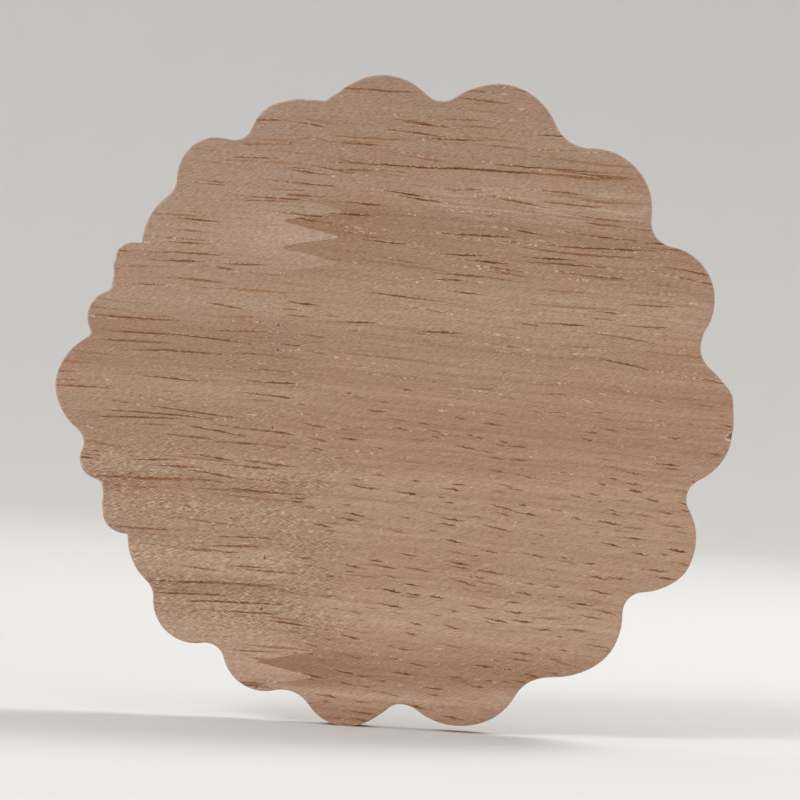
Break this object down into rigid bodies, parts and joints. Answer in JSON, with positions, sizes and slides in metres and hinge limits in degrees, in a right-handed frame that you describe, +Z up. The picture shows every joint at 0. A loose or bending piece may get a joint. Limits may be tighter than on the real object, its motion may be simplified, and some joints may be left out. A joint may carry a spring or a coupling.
{
  "type": "carved wood applique",
  "caption": "Round carved wood applique: tiered petals round a beaded button, an acanthus leaf at one end, a lobed edge and a flat back for gluing on.",
  "frame": {"origin": "middle of the flat back, on the line of symmetry", "axes": "+Y out of the carved face and -Y out of the flat back; X along the grain with the leaf's tip towards -X; +Z up with the grain level"},
  "size_m": [0.1, 0.015, 0.0961],
  "materials": {
    "bare_wood": "bare, planed behind and carved in front"
  },
  "bodies": {
    "root": {"carved_applique": "bare_wood"}
  },
  "joints": []
}
